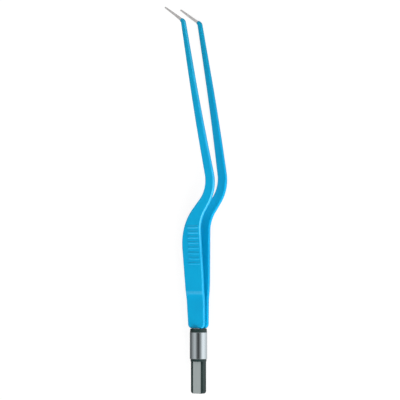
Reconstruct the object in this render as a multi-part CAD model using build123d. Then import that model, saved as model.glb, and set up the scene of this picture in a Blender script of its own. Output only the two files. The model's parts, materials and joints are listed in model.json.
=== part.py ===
# Bayonet bipolar forceps with a flat two-contact plug, in millimetres.
# The forceps lies on its side: +Y runs from the plug to the tips, +X is the side that
# the bayonet step goes to, and +Z is the way that the upper arm opens.
# The origin is on the barrel's axis, at the barrel's rear face.
from build123d import *
import math
import os

# Barrel, collar and plug body
barrel_length = 15.0
barrel_diameter = 9.8
barrel_wall = 0.6
barrel_edge_chamfer = 0.3
collar_diameter = 9.6
collar_front_diameter = 9.3
collar_length = 2.1
collar_spigot_length = 0.8
shoulder_diameter = 9.0
shoulder_length = 1.4
tongue_length = 18.0
tongue_width = 8.4
tongue_thickness = 3.24
tongue_corner_radius = 1.5
tongue_edge_radius = 0.25
black_edge_radius = 0.3
fit_clearance = 0.02

# How far a cut runs on past the face that it opens
cut_margin = 1.0

# Contacts
contact_plate_width = 5.2
contact_plate_thickness = 1.1
contact_strip_width = 3.6
contact_strip_thickness = 0.26
strip_past_rivet = 1.4

# Blade tail and its rivet, which sits behind the front of the moulded core
tail_width = 3.6
tail_past_rivet = 4.2
tail_side_clearance = 0.25
tail_rear_clearance = 0.3
tail_outer_clearance = 0.65
tail_corner_radius = 0.6
slot_clearance = 0.1
rivet_inset = 2.0
rivet_shank_diameter = 1.2
rivet_head_diameter = 2.4
rivet_head_thickness = 0.3
rivet_hole_clearance = 0.15
rivet_head_gap = 0.12

# Steel blade and its coating
steel_thickness = 1.35
coating_thickness = 0.35
coating_rear_gap = 0.1
coating_edge_radius = 0.72
coating_rear_radius = 2.4
coating_end_radius = 0.15

# Arm seen from above, with distances taken from the coating's rear edge.
# The handle's left side flares out. Its right side runs straight, then turns back in.
handle_rear_width = 10.25
handle_left_angle = 3.15
handle_side_turn = 26.8
handle_right_angle = 1.8
handle_side_radius = 120.0

# Bayonet step: a band through its middle point, slanted across, and a little tapered
step_distance = 69.1
step_offset = 6.28
step_width = 5.95
step_angle = 38.7
step_taper_angle = 4.2
heel_radius = 30.0
instep_radius = 18.5
shoulder_inner_radius = 16.5
shoulder_outer_radius = 21.0

# Shaft from the step to the tip bend
shaft_distance = 89.7
shaft_offset = 11.27
shaft_length = 85.0
shaft_angle = 10.9
shaft_start_width = 4.8
shaft_end_width = 1.95

# Bare tip
tip_angle = 56.0
tip_length = 15.8
tip_root_width = 1.55
tip_end_width = 0.85
tip_bare_from = 1.5
tip_bend_inner_radius = 1.0
tip_bend_outer_radius = 2.6
tip_end_radius = 0.38
tip_root_thickness = 1.1
tip_end_thickness = 0.62
tip_edge_radius = 0.2

# Arm seen from the side: outer face heights of the coating above the middle plane.
# The arm lifts over a short crimp, opens on a slope and bows back to a level shaft.
base_height = 2.7
crimp_distance = 16.3
crimp_run = 5.0
crimp_start_height = 3.0
crimp_end_height = 3.76
crimp_radius = 16.0
opening_angle = 3.15
bow_radius = 900.0
shaft_height = 9.15
toe_in_ahead = 0.4
toe_in_run = 2.8

# Closing face of the bare tip: its drop below the shaft steel's inner face at rest, and
# what is left between it and the middle plane when the arms are closed
tip_drop = 0.43
closed_tip_gap = 0.05

# Finger grip ridges
ridge_count = 8
ridge_pitch = 2.93
ridge_distance = 36.6
ridge_width = 1.5
ridge_height = 0.3
ridge_left_end = -3.5
ridge_right_margin = 0.9

# Raised band on the crimp
crimp_band_distance = 20.1
crimp_band_width = 2.2
crimp_band_height = 0.2

# Values worked out from those above
bore_radius = barrel_diameter / 2 - barrel_wall
core_radius = bore_radius - fit_clearance
collar_front = barrel_length + collar_length
core_length = barrel_length - collar_spigot_length
rivet_position = core_length - rivet_inset
tail_start = rivet_position - tail_past_rivet
tongue_face = tongue_thickness / 2
strip_bottom = tongue_face - contact_plate_thickness
strip_top = strip_bottom + contact_strip_thickness
plug_rear = -shoulder_length - tongue_length
coating_rear = collar_front + coating_rear_gap
blade_rear = coating_rear + coating_thickness
arm_thickness = steel_thickness + 2 * coating_thickness
crimp_start = coating_rear + crimp_distance
crimp_end = crimp_start + crimp_run
opening_rise = math.tan(math.radians(opening_angle))
cut_reach = shaft_length


def along(point, angle, distance):
    """The point at a distance from another, at an angle from +Y towards +X."""
    a = math.radians(angle)
    return (point[0] + distance * math.sin(a), point[1] + distance * math.cos(a))


def crossing(p, angle_p, q, angle_q):
    """Where the line through p meets the line through q; angles run from +Y towards +X."""
    a = math.radians(angle_p)
    b = math.radians(angle_q)
    dx = q[0] - p[0]
    dy = q[1] - p[1]
    t = (dx * math.cos(b) - dy * math.sin(b)) / math.sin(a - b)
    return (p[0] + t * math.sin(a), p[1] + t * math.cos(a))


def band_sides(middle, angle, width):
    """The two points half a width to the left and right of a slanted band's middle."""
    left = along(middle, angle - 90, width / 2)
    right = along(middle, angle + 90, width / 2)
    return left, right


def step_middle():
    return (step_offset, coating_rear + step_distance)


def shaft_start():
    """The middle of the shaft where it leaves the bayonet step."""
    return (shaft_offset, coating_rear + shaft_distance)


def shaft_end():
    """The middle of the shaft where it bends into the tip."""
    return along(shaft_start(), -shaft_angle, shaft_length)


def tip_end():
    return along(shaft_end(), -tip_angle, tip_length)


def half_taper(start_width, end_width, length):
    """The angle by which each side of a tapered band leans in."""
    return math.degrees(math.atan((start_width - end_width) / 2 / length))


def blade_outline():
    """The steel blade's outline from above, without its tail."""
    rear_left = (-handle_rear_width / 2, blade_rear)
    rear_right = (handle_rear_width / 2, blade_rear)
    side_turn = (handle_rear_width / 2, coating_rear + handle_side_turn)
    step_left, step_right = band_sides(step_middle(), step_angle, step_width)
    shaft_left, shaft_right = band_sides(shaft_start(), -shaft_angle, shaft_start_width)
    tip_left, tip_right = band_sides(shaft_end(), -tip_angle, tip_root_width)
    end_left, end_right = band_sides(tip_end(), -tip_angle, tip_end_width)

    shaft_taper = half_taper(shaft_start_width, shaft_end_width, shaft_length)
    tip_taper = half_taper(tip_root_width, tip_end_width, tip_length)
    left_slope = -shaft_angle + shaft_taper
    right_slope = -shaft_angle - shaft_taper
    step_left_slope = step_angle + step_taper_angle
    step_right_slope = step_angle - step_taper_angle
    rear_radius = coating_rear_radius - coating_thickness
    corners = [
        (rear_left, rear_radius),
        (crossing(rear_left, -handle_left_angle, step_left, step_left_slope), heel_radius),
        (crossing(step_left, step_left_slope, shaft_left, left_slope), shoulder_inner_radius),
        (crossing(shaft_left, left_slope, tip_left, -tip_angle + tip_taper), tip_bend_inner_radius),
        (end_left, tip_end_radius),
        (end_right, tip_end_radius),
        (crossing(shaft_right, right_slope, tip_right, -tip_angle - tip_taper), tip_bend_outer_radius),
        (crossing(step_right, step_right_slope, shaft_right, right_slope), shoulder_outer_radius),
        (crossing(side_turn, -handle_right_angle, step_right, step_right_slope), instep_radius),
        (side_turn, handle_side_radius),
        (rear_right, rear_radius),
    ]
    points = [corner[0] for corner in corners]
    radii = [corner[1] for corner in corners]
    return make_face(FilletPolyline(*points, radius=radii, close=True))


def height_between(y, y_from, height_from, y_to, height_to):
    return height_from + (y - y_from) * (height_to - height_from) / (y_to - y_from)


def outer_height(y):
    """Height of the coating's outer face on the straight stretches behind the bow."""
    if y < crimp_start:
        return height_between(y, coating_rear, base_height, crimp_start, crimp_start_height)
    if y < crimp_end:
        return height_between(y, crimp_start, crimp_start_height, crimp_end, crimp_end_height)
    return crimp_end_height + (y - crimp_end) * opening_rise


tail_middle = outer_height(rivet_position) - coating_thickness - steel_thickness / 2


def closing_turn():
    """The angle that turns an arm about its rivet until the tip's closing gap is reached."""
    reach = shaft_end()[1] + toe_in_ahead + toe_in_run - rivet_position
    rise = shaft_height - coating_thickness - steel_thickness - tip_drop - tail_middle
    closed_rise = closed_tip_gap - tail_middle
    return math.degrees(math.atan2(rise, reach) - math.asin(closed_rise / math.hypot(reach, rise)))


closing_angle = closing_turn()


def closed_plane(y):
    """Height at rest of the face that lies on the middle plane when the arms are closed."""
    a = math.radians(closing_angle)
    drop = closed_tip_gap - tail_middle + (y - rivet_position) * math.sin(a)
    return tail_middle + drop / math.cos(a)


def side_line(rear, drop):
    """Corners with their radii along a face that lies below the coating's outer face."""
    bow_at = crimp_end + (shaft_height - crimp_end_height) / opening_rise
    return [
        ((rear, outer_height(rear) - drop), 0.0),
        ((crimp_start, crimp_start_height - drop), crimp_radius),
        ((crimp_end, crimp_end_height - drop), crimp_radius),
        ((bow_at, shaft_height - drop), bow_radius),
    ]


def side_face(outer_drop, inner_drop, rear, front, toed):
    """The arm seen from the side, between a face outer_drop and one inner_drop below
    the coating's outer face. A toed arm ends in the thin bare tip."""
    top = side_line(rear, outer_drop)
    bottom = side_line(rear, inner_drop)
    if toed:
        toe_in_start = shaft_end()[1] + toe_in_ahead
        toe_in_end = toe_in_start + toe_in_run
        top.append(((toe_in_start, shaft_height - outer_drop), 0.0))
        top.append(((toe_in_end, closed_plane(toe_in_end) + tip_root_thickness), 0.0))
        top.append(((front, closed_plane(front) + tip_end_thickness), 0.0))
        bottom.append(((toe_in_start, shaft_height - inner_drop), 0.0))
        bottom.append(((toe_in_end, closed_plane(toe_in_end)), 0.0))
        bottom.append(((front, closed_plane(front)), 0.0))
    else:
        top.append(((front, shaft_height - outer_drop), 0.0))
        bottom.append(((front, shaft_height - inner_drop), 0.0))
    corners = top + bottom[::-1]
    points = [corner[0] for corner in corners]
    radii = [corner[1] for corner in corners]
    return make_face(FilletPolyline(*points, radius=radii, close=True))


def side_solid(face):
    """A side view face, drawn in Y and Z, run through the arm's whole width."""
    turned = Plane(origin=(-cut_reach, 0, 0), x_dir=(0, 1, 0), z_dir=(1, 0, 0)) * face
    return extrude(turned, amount=2 * cut_reach, dir=(1, 0, 0))


def tall(face):
    """A plan view face run upwards, past the top of the arm."""
    return extrude(face, amount=2 * shaft_height, dir=(0, 0, 1))


def block(width, y_from, y_to, z_from, z_to):
    """A box centred on X, between two Y and two Z values."""
    box = Box(width, y_to - y_from, z_to - z_from)
    return Pos(0, (y_from + y_to) / 2, (z_from + z_to) / 2) * box


def lengthwise(radius, y_from, y_to):
    """A round bar along the barrel's axis."""
    bar = Rot(90, 0, 0) * Cylinder(radius, y_to - y_from)
    return Pos(0, (y_from + y_to) / 2, 0) * bar


def upright(radius, z_from, z_to):
    """A round bar along Z through the rivet's place."""
    return Pos(0, rivet_position, (z_from + z_to) / 2) * Cylinder(radius, z_to - z_from)


def tip_plane(distance):
    """A plane across the tip, at a distance from the bend along the tip's middle."""
    point = along(shaft_end(), -tip_angle, distance)
    facing = along((0, 0), -tip_angle, 1)
    return Plane(origin=(point[0], point[1], 0), z_dir=(facing[0], facing[1], 0))


def off_plane(edges, plane):
    """Those of the edges whose middle doesn't lie on a plane."""
    return [edge for edge in edges if abs(plane.to_local_coords(edge.center()).Z) > fit_clearance]


def make_upper_blade():
    tail_length = blade_rear + steel_thickness - tail_start
    tail = Pos(0, tail_start + tail_length / 2) * RectangleRounded(
        tail_width, tail_length, tail_corner_radius
    )
    plan = tall(blade_outline() + tail)
    far_end = tip_end()[1] + steel_thickness
    side = side_face(
        coating_thickness, coating_thickness + steel_thickness, tail_start, far_end, True
    )
    hole = upright(rivet_shank_diameter / 2 + rivet_hole_clearance, 0, shaft_height)
    blade = (plan & side_solid(side)) - hole

    sleeve_end = tip_plane(tip_bare_from - coating_thickness)
    sleeved = split(blade, bisect_by=sleeve_end, keep=Keep.BOTTOM)
    bare = split(blade, bisect_by=sleeve_end, keep=Keep.TOP)
    rims = off_plane(bare.edges().filter_by(Axis.Z, reverse=True), sleeve_end)
    return sleeved + fillet(rims, tip_edge_radius)


def rim_edges(body, end_plane):
    """The edges round the coating's two broad faces, apart from those at its tip end."""
    edges = body.edges().filter_by(Axis.Z, reverse=True)
    across = edges.filter_by(Axis.X)
    rear = across.group_by(Axis.Y)[0]
    edges = [edge for edge in edges if edge not in across or edge in rear]
    return off_plane(edges, end_plane)


def make_upper_coating(blade):
    grown = offset(blade_outline(), amount=coating_thickness)
    side = side_face(0, arm_thickness, coating_rear, tip_end()[1] + arm_thickness, False)
    body = tall(grown) & side_solid(side)

    end_plane = tip_plane(tip_bare_from)
    body = split(body, bisect_by=end_plane, keep=Keep.BOTTOM)
    body = fillet(rim_edges(body, end_plane), coating_edge_radius)
    end_face = min(body.faces(), key=lambda face: abs(end_plane.to_local_coords(face.center()).Z))
    body = fillet(end_face.edges(), coating_end_radius)
    return (body + surface_ridges()) - blade


def ridge_bar(y, width, height):
    """A bar across the arm whose top stands proud of the coating's outer face."""
    radius = (width ** 2 / 4 + height ** 2) / (2 * height)
    bar = Rot(0, 90, 0) * Cylinder(radius, cut_reach)
    return Pos(0, y, outer_height(y) + height - radius) * bar


def surface_ridges():
    """The finger grip ridges and the raised band on the crimp, ready to fuse on."""
    root = coating_thickness / 2
    front = tip_end()[1] + arm_thickness
    slab = side_solid(side_face(-arm_thickness, root, coating_rear, front, False))
    left_side = Pos(ridge_left_end - cut_reach / 2, 0) * Rectangle(cut_reach, 4 * cut_reach)
    grip_zone = tall(offset(blade_outline(), amount=coating_thickness - ridge_right_margin) - left_side)
    band_zone = tall(offset(blade_outline(), amount=-root))
    ridges = []
    for i in range(ridge_count):
        bar = ridge_bar(coating_rear + ridge_distance + i * ridge_pitch, ridge_width, ridge_height)
        ridges.append(bar & slab & grip_zone)
    band = ridge_bar(coating_rear + crimp_band_distance, crimp_band_width, crimp_band_height)
    return ridges + [band & slab & band_zone]


def mirrored(part):
    """The same piece on the other side of the middle plane."""
    return mirror(part, about=Plane.XY)


def make_barrel():
    tube = lengthwise(barrel_diameter / 2, 0, barrel_length)
    tube = chamfer(tube.edges(), barrel_edge_chamfer)
    return tube - lengthwise(bore_radius, -cut_margin, barrel_length + cut_margin)


def make_front_collar():
    disc = Rot(-90, 0, 0) * Cone(collar_diameter / 2, collar_front_diameter / 2, collar_length)
    disc = Pos(0, (barrel_length + collar_front) / 2, 0) * disc
    disc = fillet(disc.edges().sort_by(Axis.Y)[-1], black_edge_radius)
    body = disc + lengthwise(core_radius, core_length, barrel_length)
    travel = (collar_front - rivet_position) * math.sin(math.radians(closing_angle))
    tail_outer = outer_height(collar_front) - coating_thickness
    slot = block(
        tail_width + 2 * tail_side_clearance,
        core_length - cut_margin,
        collar_front + cut_margin,
        tail_outer - steel_thickness - travel - slot_clearance,
        tail_outer + slot_clearance,
    )
    return body - slot - mirrored(slot)


def make_plug_body():
    tongue = block(tongue_width, plug_rear, -shoulder_length, -tongue_face, tongue_face)
    corners = tongue.edges().filter_by(Axis.Z).group_by(Axis.Y)[0]
    tongue = fillet(corners, tongue_corner_radius)
    tongue = fillet(tongue.faces().sort_by(Axis.Y)[0].edges(), tongue_edge_radius)
    shoulder = lengthwise(shoulder_diameter / 2, -shoulder_length, 0)
    shoulder = fillet(shoulder.edges().sort_by(Axis.Y)[0], black_edge_radius)
    body = tongue + shoulder + lengthwise(core_radius, 0, core_length)

    tail_top = outer_height(rivet_position) - coating_thickness
    plate_seat = block(
        contact_plate_width + 2 * fit_clearance,
        plug_rear - cut_margin,
        -shoulder_length,
        strip_bottom,
        tongue_thickness,
    )
    strip_channel = block(
        contact_strip_width + 2 * fit_clearance,
        -shoulder_length - cut_margin,
        tail_start,
        strip_bottom,
        strip_top + fit_clearance,
    )
    tail_pocket = block(
        tail_width + 2 * tail_side_clearance,
        tail_start - tail_rear_clearance,
        core_length + cut_margin,
        strip_bottom,
        tail_top + tail_outer_clearance,
    )
    head_recess = upright(
        rivet_head_diameter / 2 + fit_clearance,
        strip_bottom - rivet_head_thickness - fit_clearance,
        strip_top,
    )
    for cut in (plate_seat, strip_channel, tail_pocket, head_recess):
        body = body - cut - mirrored(cut)
    return body


def make_upper_contact():
    plate = block(contact_plate_width, plug_rear, -shoulder_length, strip_bottom, tongue_face)
    rear_edges = plate.faces().sort_by(Axis.Y)[0].edges()
    plate = chamfer(rear_edges.sort_by(Axis.Z)[-1], tongue_edge_radius)
    strip = block(
        contact_strip_width,
        -shoulder_length,
        rivet_position + strip_past_rivet,
        strip_bottom,
        strip_top,
    )
    return plate + strip - upright(rivet_shank_diameter / 2 + fit_clearance, 0, tongue_face)


def make_upper_rivet():
    tail_top = outer_height(rivet_position) - coating_thickness
    head_base = tail_top + rivet_head_gap
    foot = strip_bottom - rivet_head_thickness
    inner_head = upright(rivet_head_diameter / 2, foot, strip_bottom)
    shank = upright(rivet_shank_diameter / 2, foot, head_base)
    outer_head = upright(rivet_head_diameter / 2, head_base, head_base + rivet_head_thickness)
    outer_head = fillet(outer_head.edges().sort_by(Axis.Z)[-1], rivet_head_thickness / 2)
    return inner_head + shank + outer_head


def main():
    upper_blade = make_upper_blade()
    upper_coating = make_upper_coating(upper_blade)
    upper_contact = make_upper_contact()
    upper_rivet = make_upper_rivet()
    pieces = {
        "upper_blade": upper_blade,
        "upper_coating": upper_coating,
        "lower_blade": mirrored(upper_blade),
        "lower_coating": mirrored(upper_coating),
        "barrel": make_barrel(),
        "front_collar": make_front_collar(),
        "plug_body": make_plug_body(),
        "upper_contact": upper_contact,
        "lower_contact": mirrored(upper_contact),
        "upper_rivet": upper_rivet,
        "lower_rivet": mirrored(upper_rivet),
    }
    os.makedirs("parts", exist_ok=True)
    for name, piece in pieces.items():
        export_step(piece, f"parts/{name}.step")


main()
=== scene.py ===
# Bayonet bipolar forceps lying on a pale floor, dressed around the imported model.
# Lengths are in metres. +Y runs from the plug to the tips, +Z is up.
import json
import math

import bmesh
import bpy
from mathutils import Matrix, Vector

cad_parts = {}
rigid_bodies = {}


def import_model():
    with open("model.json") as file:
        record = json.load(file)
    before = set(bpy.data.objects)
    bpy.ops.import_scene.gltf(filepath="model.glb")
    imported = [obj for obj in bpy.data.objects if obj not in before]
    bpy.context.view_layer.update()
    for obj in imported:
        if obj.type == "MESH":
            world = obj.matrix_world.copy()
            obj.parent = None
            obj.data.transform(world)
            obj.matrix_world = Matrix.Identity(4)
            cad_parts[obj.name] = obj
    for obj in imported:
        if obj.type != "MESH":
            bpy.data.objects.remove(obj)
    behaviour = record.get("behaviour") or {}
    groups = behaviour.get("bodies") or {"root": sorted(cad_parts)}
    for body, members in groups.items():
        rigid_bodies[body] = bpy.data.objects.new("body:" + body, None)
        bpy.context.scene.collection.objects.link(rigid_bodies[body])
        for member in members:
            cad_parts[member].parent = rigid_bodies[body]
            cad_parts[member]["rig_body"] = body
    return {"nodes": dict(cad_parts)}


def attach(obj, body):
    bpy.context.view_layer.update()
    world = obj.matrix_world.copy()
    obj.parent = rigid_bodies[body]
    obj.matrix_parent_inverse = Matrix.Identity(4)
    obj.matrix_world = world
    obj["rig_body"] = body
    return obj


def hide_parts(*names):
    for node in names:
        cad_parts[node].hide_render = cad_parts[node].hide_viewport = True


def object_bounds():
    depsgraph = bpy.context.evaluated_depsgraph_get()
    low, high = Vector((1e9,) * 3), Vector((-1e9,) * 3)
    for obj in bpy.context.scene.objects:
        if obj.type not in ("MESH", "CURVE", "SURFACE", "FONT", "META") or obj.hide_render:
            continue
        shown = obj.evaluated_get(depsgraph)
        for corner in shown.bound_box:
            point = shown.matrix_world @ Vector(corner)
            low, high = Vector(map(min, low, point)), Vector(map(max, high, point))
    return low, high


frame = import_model()
cad_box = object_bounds()

MM = 0.001

# Camera: the photograph's frame holds 400 pixels across
photo_pixels = 400
photo_mm_per_pixel = 0.564
photo_barrel_axis_x = 198.5
photo_barrel_rear_y = 358.7
camera_distance = 1.2
camera_swing = 35.0
camera_lean = -1.9
camera_near = 0.01
camera_far = 20.0
sensor_width = 36.0

# Barrel: a turned sleeve with its edges rounded over
barrel_outer_diameter = 9.8 * MM
barrel_wall = 0.6 * MM
barrel_length = 15.0 * MM
barrel_edge_round = 0.28 * MM
barrel_segments = 128
round_segments = 6

# Finish colours, linear
blue_coat = (0.0012, 0.372, 0.655)
blue_coat_deep = (0.0010, 0.325, 0.610)
blue_shaft_painted_shade = (0.0030, 0.300, 0.500)
blue_painted_pale = (0.160, 0.620, 0.920)
bare_steel = (0.93, 0.90, 0.89)
chrome_plate = (0.72, 0.80, 0.84)
black_mould = (0.006, 0.019, 0.018)
black_mould_worn = (0.019, 0.037, 0.035)
plate_metal = (0.86, 0.96, 0.95)
brass = (0.62, 0.43, 0.17)


def view_vectors():
    """The camera's back, right and up directions."""
    a = math.radians(camera_swing)
    e = math.radians(camera_lean)
    back = Vector((math.sin(a) * math.cos(e), math.sin(e), math.cos(a) * math.cos(e)))
    right = Vector((math.cos(a), 0, -math.sin(a)))
    return back, right, back.cross(right)


def add_camera():
    back, right, up = view_vectors()
    centre_u = (photo_pixels / 2 - photo_barrel_axis_x) * photo_mm_per_pixel * MM
    centre_v = (photo_barrel_rear_y - photo_pixels / 2) * photo_mm_per_pixel * MM
    target = Vector((centre_u / right.x, centre_v, 0))
    data = bpy.data.cameras.new("camera")
    camera = bpy.data.objects.new("camera", data)
    bpy.context.scene.collection.objects.link(camera)
    width = photo_pixels * photo_mm_per_pixel * MM
    data.sensor_width = sensor_width
    data.lens = sensor_width * camera_distance / width
    data.clip_start = camera_near
    data.clip_end = camera_far
    place = target + back * camera_distance
    turn = Matrix((right, up, back)).transposed().to_4x4()
    camera.matrix_world = Matrix.Translation(place) @ turn
    bpy.context.scene.camera = camera


class Nodes:
    """A small helper that adds and joins shader nodes in one tree."""

    def __init__(self, tree):
        self.tree = tree
        self.tree.nodes.clear()

    def add(self, kind, inputs=None, **settings):
        node = self.tree.nodes.new(kind)
        for key, value in settings.items():
            setattr(node, key, value)
        for key, value in (inputs or {}).items():
            if isinstance(value, bpy.types.NodeSocket):
                self.tree.links.new(value, node.inputs[key])
            else:
                node.inputs[key].default_value = value
        return node


def start_material(name):
    material = bpy.data.materials.new(name)
    material.use_nodes = True
    return material, Nodes(material.node_tree)


def end_material(material, nodes, colour, rough, more):
    """Ends a material in one surface shader and gives the material back."""
    if not isinstance(colour, bpy.types.NodeSocket):
        colour = (*colour, 1)
    shader = nodes.add(
        "ShaderNodeBsdfPrincipled", {"Base Color": colour, "Roughness": rough, **more}
    )
    nodes.add("ShaderNodeOutputMaterial", {"Surface": shader.outputs["BSDF"]})
    return material


def noise(nodes, coords, scale, detail=3.0, roughness=0.55, stretch=(1, 1, 1)):
    mapping = nodes.add("ShaderNodeMapping", {"Vector": coords, "Scale": stretch})
    return nodes.add(
        "ShaderNodeTexNoise",
        {
            "Vector": mapping.outputs["Vector"],
            "Scale": scale,
            "Detail": detail,
            "Roughness": roughness,
        },
    ).outputs["Fac"]


def ranged(nodes, value, low, high, from_low=0.0, from_high=1.0):
    return nodes.add(
        "ShaderNodeMapRange",
        {
            "Value": value,
            "From Min": from_low,
            "From Max": from_high,
            "To Min": low,
            "To Max": high,
        },
    ).outputs["Result"]


noise_spread = (0.3, 0.7)


def noisy(nodes, value, low, high):
    """Carries a noise's usual spread onto a range."""
    return ranged(nodes, value, low, high, *noise_spread)


def blended(nodes, factor, colour_a, colour_b):
    """A mix of two colours, of which the first may come from another node."""
    if not isinstance(colour_a, bpy.types.NodeSocket):
        colour_a = (*colour_a, 1)
    return nodes.add(
        "ShaderNodeMix",
        {"Factor": factor, "A": colour_a, "B": (*colour_b, 1)},
        data_type="RGBA",
    ).outputs["Result"]


def bump(nodes, height, distance, under=None):
    """A normal raised by a height, over another normal if one is given."""
    inputs = {"Height": height, "Distance": distance}
    if under is not None:
        inputs["Normal"] = under
    return nodes.add("ShaderNodeBump", inputs).outputs["Normal"]


def object_coords(nodes):
    return nodes.add("ShaderNodeTexCoord").outputs["Object"]


def component(nodes, vector, axis):
    return nodes.add("ShaderNodeSeparateXYZ", {"Vector": vector}).outputs[axis]


def maths(nodes, operation, a, b=None, clamp=False):
    inputs = {0: a} if b is None else {0: a, 1: b}
    node = nodes.add("ShaderNodeMath", inputs, operation=operation, use_clamp=clamp)
    return node.outputs[0]


def sum_of(nodes, *values):
    total = values[0]
    for value in values[1:]:
        total = maths(nodes, "ADD", total, value)
    return total


def distance_from(nodes, value, middle):
    return maths(nodes, "ABSOLUTE", maths(nodes, "SUBTRACT", value, middle))


def stepped(nodes, value, low, high):
    """Rises smoothly from 0 to 1 while the value goes from low to high."""
    return nodes.add(
        "ShaderNodeMapRange",
        {"Value": value, "From Min": low, "From Max": high},
        interpolation_type="SMOOTHSTEP",
    ).outputs["Result"]


full_share = 0.3


def near_value(nodes, value, middle, reach):
    """1 round the middle, falling smoothly to 0 at a reach on either side."""
    return stepped(nodes, distance_from(nodes, value, middle), reach, reach * full_share)


# Painted highlight: the insulation's edges are painted paler, most of all along the step, as
# a highlight laid into the colour;
# the raised band on the crimp is painted paler too. A face counts by how far it looks outward
# from the middle plane.
edge_painted_highlight = 0.22
step_painted_highlight = 0.42
band_painted_pale = 0.25
step_middle = 84 * MM
step_reach = 26 * MM
band_middle = 37.3 * MM
band_reach = 1.35 * MM
broad_face = (0.6, 0.85)
edge_from_broad = (0.97, 0.75)
edge_from_side = (0.05, 0.45)


def painted_pale_places(nodes, coords):
    along = component(nodes, coords, "Y")
    facing = nodes.add("ShaderNodeTexCoord").outputs["Normal"]
    upright = component(nodes, facing, "Z")
    side = maths(nodes, "SIGN", component(nodes, coords, "Z"))
    outward = maths(nodes, "MULTIPLY", upright, side)
    broad = stepped(nodes, outward, *broad_face)
    turned = stepped(nodes, outward, *edge_from_broad)
    edges = maths(nodes, "MULTIPLY", turned, stepped(nodes, outward, *edge_from_side))
    on_step = near_value(nodes, along, step_middle, step_reach)
    on_band = near_value(nodes, along, band_middle, band_reach)
    return (
        edges,
        maths(nodes, "MULTIPLY", edges, on_step),
        maths(nodes, "MULTIPLY", on_band, broad),
    )


# Insulation: a slow drift of colour, painted shade darker towards the tips, orange peel and
# fine grain
coat_drift_scale = 45.0
coat_peel_scale = 700.0
coat_grain_scale = 4200.0
coat_detail = 2.0
coat_peel_height = 0.04 * MM
coat_grain_height = 0.004 * MM
coat_roughness = (0.33, 0.45)
coat_gloss = 0.15
plastic_ior = 1.5
shaft_from = 115 * MM
shaft_to = 190 * MM
shaft_waver = 12 * MM
# How unevenly the painted paler edges, step and band are laid on
pale_paint_noise_scale = 900.0
pale_paint_noise_spread = (0.35, 0.65)
pale_paint_least = 0.7


def coating_material():
    """Blue insulation: smooth, half gloss, with a faint orange peel, painted darker towards
    the tips as shade, and painted paler on its edges, most along the step, as a highlight,
    and on the crimp's band."""
    material, nodes = start_material("blue_insulation")
    coords = object_coords(nodes)
    drift = noise(nodes, coords, coat_drift_scale, detail=coat_detail)
    peel = noise(nodes, coords, coat_peel_scale, detail=coat_detail)
    grain = noise(nodes, coords, coat_grain_scale, detail=coat_detail)
    base = blended(nodes, noisy(nodes, drift, 0.0, 1.0), blue_coat, blue_coat_deep)
    waver = ranged(nodes, drift, -shaft_waver, shaft_waver)
    along = maths(nodes, "ADD", component(nodes, coords, "Y"), waver)
    # Painted shade: the colour darkens towards the tips, standing in for less light there
    base = blended(nodes, stepped(nodes, along, shaft_from, shaft_to), base, blue_shaft_painted_shade)
    # Painted highlight: the edges and the step are painted paler, and the crimp's band is
    # painted paler too
    edges, step, band = painted_pale_places(nodes, coords)
    uneven = ranged(nodes, noise(nodes, coords, pale_paint_noise_scale), pale_paint_least, 1.0, *pale_paint_noise_spread)
    pale_paint = sum_of(
        nodes,
        maths(nodes, "MULTIPLY", edges, edge_painted_highlight),
        maths(nodes, "MULTIPLY", step, step_painted_highlight),
        maths(nodes, "MULTIPLY", band, band_painted_pale),
    )
    pale_paint = maths(nodes, "MULTIPLY", pale_paint, uneven, clamp=True)
    colour = blended(nodes, pale_paint, base, blue_painted_pale)
    rough = noisy(nodes, grain, *coat_roughness)
    fine = bump(nodes, grain, coat_grain_height)
    more = {
        "IOR": plastic_ior,
        "Specular IOR Level": coat_gloss,
        "Normal": bump(nodes, peel, coat_peel_height, fine),
    }
    return end_material(material, nodes, colour, rough, more)


# Bare steel: brushed, with patches of another tone
steel_metallic = 0.76
steel_patch_tint = 0.86
steel_brush_scale = 900.0
steel_brush_stretch = (1.0, 0.25, 3.0)
steel_brush_height = 0.01 * MM
steel_patch_scale = 260.0
steel_roughness = (0.3, 0.46)


def steel_material():
    """Bare satin steel, brushed along the tip."""
    material, nodes = start_material("satin_steel")
    coords = object_coords(nodes)
    brushed = noise(nodes, coords, steel_brush_scale, stretch=steel_brush_stretch)
    patches = noise(nodes, coords, steel_patch_scale)
    rough = noisy(nodes, patches, *steel_roughness)
    tint = tuple(steel_patch_tint * level for level in bare_steel)
    colour = blended(nodes, noisy(nodes, patches, 0.0, 1.0), bare_steel, tint)
    more = {
        "Metallic": steel_metallic,
        "Normal": bump(nodes, brushed, steel_brush_height),
    }
    return end_material(material, nodes, colour, rough, more)


# Barrel's plating: turning marks, smudges and satin broken edges
turning_mark_scale = 900.0
turning_mark_stretch = (0.03, 6.0, 0.03)
turning_mark_detail = 4.0
turning_mark_height = 0.006 * MM
smudge_scale = 160.0
plating_roughness = (0.09, 0.15)
plating_edge_reach = 1.5 * barrel_edge_round
plating_edge_roughness = 0.5


def chrome_material():
    """Bright plated barrel with faint turning marks round it and satin broken edges."""
    material, nodes = start_material("plated_barrel")
    coords = object_coords(nodes)
    turned = noise(
        nodes,
        coords,
        turning_mark_scale,
        detail=turning_mark_detail,
        stretch=turning_mark_stretch,
    )
    smudge = noise(nodes, coords, smudge_scale)
    half_length = barrel_length / 2
    from_middle = distance_from(nodes, component(nodes, coords, "Y"), half_length)
    at_edge = stepped(nodes, from_middle, half_length - plating_edge_reach, half_length)
    rough = sum_of(
        nodes,
        noisy(nodes, smudge, *plating_roughness),
        maths(nodes, "MULTIPLY", at_edge, plating_edge_roughness),
    )
    more = {"Metallic": 1.0, "Normal": bump(nodes, turned, turning_mark_height)}
    return end_material(material, nodes, chrome_plate, rough, more)


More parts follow.
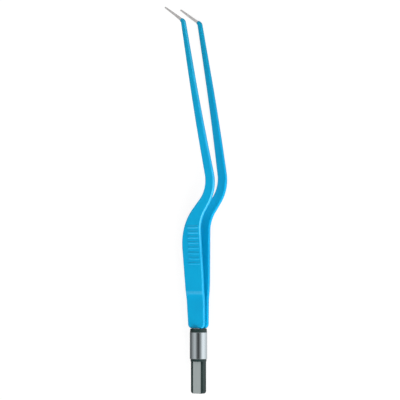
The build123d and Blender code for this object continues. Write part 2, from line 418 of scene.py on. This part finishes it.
# Black mould: fine grain, paler patches
mould_grain_scale = 3000.0
mould_grain_height = 0.01 * MM
mould_rub_scale = 180.0
mould_rub_stretch = (1, 0.3, 1)
mould_rub_spread = (0.35, 0.75)
mould_roughness = (0.34, 0.46)
mould_gloss = 0.4


def mould_material():
    """Black moulded plastic, fine grained, a little paler where it is rubbed."""
    material, nodes = start_material("black_mould")
    coords = object_coords(nodes)
    grain = noise(nodes, coords, mould_grain_scale)
    rubbed = noise(nodes, coords, mould_rub_scale, stretch=mould_rub_stretch)
    factor = ranged(nodes, rubbed, 0.0, 1.0, *mould_rub_spread)
    colour = blended(nodes, factor, black_mould, black_mould_worn)
    more = {
        "IOR": plastic_ior,
        "Specular IOR Level": mould_gloss,
        "Normal": bump(nodes, grain, mould_grain_height),
    }
    return end_material(material, nodes, colour, noisy(nodes, grain, *mould_roughness), more)


# Contact plate: strokes along its length
stroke_scale = 1500.0
stroke_stretch = (3.0, 0.05, 1.0)
stroke_detail = 4.0
stroke_height = 0.006 * MM
contact_roughness = (0.36, 0.5)


def plate_material():
    """Contact plate: satin metal brushed along its length by the socket."""
    material, nodes = start_material("contact_plate")
    coords = object_coords(nodes)
    strokes = noise(nodes, coords, stroke_scale, detail=stroke_detail, stretch=stroke_stretch)
    rough = noisy(nodes, strokes, *contact_roughness)
    more = {"Metallic": 1.0, "Normal": bump(nodes, strokes, stroke_height)}
    return end_material(material, nodes, plate_metal, rough, more)


brass_grain_scale = 900.0
brass_roughness = (0.25, 0.4)


def brass_material():
    material, nodes = start_material("rivet_brass")
    grain = noise(nodes, object_coords(nodes), brass_grain_scale)
    rough = ranged(nodes, grain, *brass_roughness)
    return end_material(material, nodes, brass, rough, {"Metallic": 1.0})


# Smooth shading: faces that meet at less than this angle are shaded as one
merge_distance = 0.002 * MM
smooth_angle = math.radians(32)
face_area_weight = 80


def smooth_copy(node, name):
    """A merged, smoothly shaded copy of a CAD node, which it then stands for."""
    source = frame["nodes"][node]
    mesh = source.data.copy()
    mesh.name = name
    piece = bpy.data.objects.new(name, mesh)
    bpy.context.scene.collection.objects.link(piece)
    soft = bmesh.new()
    soft.from_mesh(mesh)
    bmesh.ops.remove_doubles(soft, verts=soft.verts, dist=merge_distance)
    for face in soft.faces:
        face.smooth = True
    for edge in soft.edges:
        edge.smooth = len(edge.link_faces) == 2 and edge.calc_face_angle(0) < smooth_angle
    soft.to_mesh(mesh)
    soft.free()
    weighted = piece.modifiers.new("weighted_normals", "WEIGHTED_NORMAL")
    weighted.keep_sharp = True
    weighted.mode = "FACE_AREA"
    weighted.weight = face_area_weight
    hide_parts(node)
    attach(piece, source["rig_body"])
    return piece


def finish(piece, material):
    piece.data.materials.clear()
    piece.data.materials.append(material)


def sleeve_tree(material):
    """A tree that turns a sleeve about +Y: a wall section with rounded ends, swept round."""
    tree = bpy.data.node_groups.new("turned_sleeve", "GeometryNodeTree")
    sockets = tree.interface
    sockets.new_socket("Geometry", in_out="INPUT", socket_type="NodeSocketGeometry")
    for name in ("Outer Diameter", "Wall", "Length", "Edge Round"):
        sockets.new_socket(name, in_out="INPUT", socket_type="NodeSocketFloat")
    for name in ("Segments", "Round Segments"):
        sockets.new_socket(name, in_out="INPUT", socket_type="NodeSocketInt")
    sockets.new_socket("Geometry", in_out="OUTPUT", socket_type="NodeSocketGeometry")
    nodes = Nodes(tree)
    given = nodes.add("NodeGroupInput").outputs
    outer = maths(nodes, "DIVIDE", given["Outer Diameter"], 2.0)
    half_wall = maths(nodes, "DIVIDE", given["Wall"], 2.0)
    middle = maths(nodes, "SUBTRACT", outer, half_wall)
    round_path = nodes.add(
        "GeometryNodeCurvePrimitiveCircle",
        {"Resolution": given["Segments"], "Radius": middle},
    )
    section = nodes.add(
        "GeometryNodeCurvePrimitiveQuadrilateral",
        {"Width": given["Wall"], "Height": given["Length"]},
    )
    softened = nodes.add(
        "GeometryNodeFilletCurve",
        {
            "Curve": section.outputs["Curve"],
            "Radius": given["Edge Round"],
            "Count": given["Round Segments"],
            "Limit Radius": True,
        },
        mode="POLY",
    )
    swept = nodes.add(
        "GeometryNodeCurveToMesh",
        {"Curve": round_path.outputs["Curve"], "Profile Curve": softened.outputs["Curve"]},
    )
    place = nodes.add(
        "ShaderNodeCombineXYZ", {"Y": maths(nodes, "DIVIDE", given["Length"], 2.0)}
    )
    laid = nodes.add(
        "GeometryNodeTransform",
        {
            "Geometry": swept.outputs["Mesh"],
            "Translation": place.outputs["Vector"],
            "Rotation": (math.pi / 2, 0, 0),
        },
    )
    smooth = nodes.add(
        "GeometryNodeSetShadeSmooth", {"Geometry": laid.outputs["Geometry"]}
    )
    whole = nodes.add(
        "GeometryNodeRealizeInstances", {"Geometry": smooth.outputs["Geometry"]}
    )
    finished = nodes.add(
        "GeometryNodeSetMaterial",
        {"Geometry": whole.outputs["Geometry"], "Material": material},
    )
    result = nodes.add("NodeGroupOutput")
    tree.links.new(finished.outputs["Geometry"], result.inputs["Geometry"])
    return tree


def grown_piece(name, tree, values):
    """A plain mesh object made by a geometry tree with its named inputs set."""
    seed = bpy.data.objects.new(name + "_seed", bpy.data.meshes.new(name + "_seed"))
    bpy.context.scene.collection.objects.link(seed)
    grower = seed.modifiers.new("grow", "NODES")
    grower.node_group = tree
    for item in tree.interface.items_tree:
        if item.item_type == "SOCKET" and item.in_out == "INPUT" and item.name in values:
            grower[item.identifier] = values[item.name]
    bpy.context.view_layer.update()
    grown = seed.evaluated_get(bpy.context.evaluated_depsgraph_get())
    mesh = bpy.data.meshes.new_from_object(grown)
    mesh.name = name
    bpy.data.objects.remove(seed)
    piece = bpy.data.objects.new(name, mesh)
    bpy.context.scene.collection.objects.link(piece)
    return piece


def turned_barrel(material):
    values = {
        "Outer Diameter": barrel_outer_diameter,
        "Wall": barrel_wall,
        "Length": barrel_length,
        "Edge Round": barrel_edge_round,
        "Segments": barrel_segments,
        "Round Segments": round_segments,
    }
    piece = grown_piece("turned_barrel", sleeve_tree(material), values)
    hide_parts("barrel")
    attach(piece, frame["nodes"]["barrel"]["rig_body"])


def dress_part():
    finishes = {
        "blue_coating": coating_material(),
        "steel": steel_material(),
        "chrome": chrome_material(),
        "black_plastic": mould_material(),
        "contact_metal": plate_material(),
        "rivet_brass": brass_material(),
    }
    visible = {
        "upper_coating": "blue_coating",
        "lower_coating": "blue_coating",
        "upper_blade": "steel",
        "lower_blade": "steel",
        "front_collar": "black_plastic",
        "plug_body": "black_plastic",
        "upper_contact": "contact_metal",
        "lower_contact": "contact_metal",
    }
    for node, slot in visible.items():
        finish(smooth_copy(node, node + "_finished"), finishes[slot])
    turned_barrel(finishes["chrome"])
    for node in ("upper_rivet", "lower_rivet"):
        mesh = frame["nodes"][node].data
        mesh.materials.clear()
        mesh.materials.append(finishes["rivet_brass"])


# Floor: its paper, the share of its own light near the object, and that light's level
floor_size = 6.0
floor_white = 0.80
floor_own_light = 0.75
floor_seen_white = 1.13

# Distance from the barrel over which the floor's own light takes over from the lamps'
floor_fade_from = 0.18
floor_fade_to = 0.55

# Floor as the gloss sees it: a dim left side and a white right side
floor_dim = 0.16
floor_dim_x = -0.02
floor_bright = 1.0
floor_bright_x = 0.025


def add_floor():
    """A plain white floor that keeps the object's shadow."""
    low = cad_box[0]
    mesh = bpy.data.meshes.new("floor")
    half = floor_size / 2
    corners = [(-half, -half), (half, -half), (half, half), (-half, half)]
    mesh.from_pydata([(x, y, low[2]) for x, y in corners], [], [(0, 1, 2, 3)])
    floor = bpy.data.objects.new("floor", mesh)
    bpy.context.scene.collection.objects.link(floor)
    material, nodes = start_material("floor_white")
    path = nodes.add("ShaderNodeLightPath")
    across = component(nodes, object_coords(nodes), "X")
    mirrored = ranged(nodes, across, floor_dim, floor_bright, floor_dim_x, floor_bright_x)
    away = nodes.add(
        "ShaderNodeVectorMath", {0: object_coords(nodes)}, operation="LENGTH"
    ).outputs["Value"]
    own_light = ranged(nodes, away, floor_own_light, 1.0, floor_fade_from, floor_fade_to)
    camera_share = maths(nodes, "MULTIPLY", path.outputs["Is Camera Ray"], own_light)
    share = maths(nodes, "MAXIMUM", camera_share, path.outputs["Is Glossy Ray"])
    strength = nodes.add(
        "ShaderNodeMix",
        {"Factor": path.outputs["Is Camera Ray"], "A": mirrored, "B": floor_seen_white},
    ).outputs["Result"]
    glow = nodes.add("ShaderNodeEmission", {"Color": (1, 1, 1, 1), "Strength": strength})
    paper = nodes.add("ShaderNodeBsdfDiffuse", {"Color": (floor_white,) * 3 + (1,)})
    mixed = nodes.add(
        "ShaderNodeMixShader",
        {0: share, 1: paper.outputs["BSDF"], 2: glow.outputs["Emission"]},
    )
    nodes.add("ShaderNodeOutputMaterial", {"Surface": mixed.outputs["Shader"]})
    mesh.materials.append(material)


# Studio round the object: brightness by the direction's lean, in degrees, from straight
# up towards +X. A dark stretch lies behind the camera and a bright wall on the right.
studio_ring = [
    (-180, 0.30),
    (-100, 0.12),
    (-72, 0.16),
    (-52, 0.30),
    (-35, 0.42),
    (-15, 0.555),
    (-5, 0.50),
    (8, 0.26),
    (22, 0.10),
    (35, 0.045),
    (62, 0.31),
    (75, 0.64),
    (90, 0.97),
    (110, 1.0),
    (180, 0.60),
]


def add_world():
    world = bpy.data.worlds.new("studio")
    bpy.context.scene.world = world
    world.use_nodes = True
    nodes = Nodes(world.node_tree)
    direction = nodes.add("ShaderNodeTexCoord").outputs["Generated"]
    sideways = component(nodes, direction, "X")
    lean = maths(nodes, "ARCTAN2", sideways, component(nodes, direction, "Z"))
    place = ranged(nodes, lean, 0.0, 1.0, -math.pi, math.pi)
    ring = nodes.add("ShaderNodeValToRGB", {"Fac": place})
    ramp = ring.color_ramp
    while len(ramp.elements) < len(studio_ring):
        ramp.elements.new(0.5)
    for element, (degrees, level) in zip(ramp.elements, studio_ring):
        element.position = (degrees + 180) / 360
        element.color = (level, level, level, 1)
    seen = nodes.add("ShaderNodeLightPath").outputs["Is Camera Ray"]
    colour = blended(nodes, seen, ring.outputs["Color"], (1, 1, 1))
    background = nodes.add("ShaderNodeBackground", {"Color": colour})
    nodes.add("ShaderNodeOutputWorld", {"Surface": background.outputs["Background"]})


# Softboxes: a key from the lower right, a fill from above, and a light from the side that
# reaches between the arms. Place in metres, size in metres, power in watts.
softboxes = {
    "key_softbox": ((0.53, -0.72, 0.47), (0.8, 0.7), 10.9),
    "fill_softbox": ((-0.2, 0.75, 1.15), (1.2, 1.2), 3.3),
    "side_softbox": ((0.78, 0.20, 0.54), (0.5, 0.5), 3.9),
}


def add_softbox(name, place, target, size, power):
    """An area lamp turned to a target, and kept out of the gloss."""
    data = bpy.data.lights.new(name, "AREA")
    data.shape = "RECTANGLE"
    data.size = size[0]
    data.size_y = size[1]
    data.energy = power
    lamp = bpy.data.objects.new(name, data)
    bpy.context.scene.collection.objects.link(lamp)
    lamp.location = place
    lamp.rotation_euler = (Vector(place) - Vector(target)).to_track_quat("Z", "Y").to_euler()
    lamp.visible_glossy = False


def add_lights():
    middle = (Vector(cad_box[0]) + Vector(cad_box[1])) / 2
    for name, (place, size, power) in softboxes.items():
        add_softbox(name, place, middle, size, power)


bpy.context.scene.view_settings.view_transform = "Standard"
add_camera()
add_world()
add_lights()
add_floor()
dress_part()
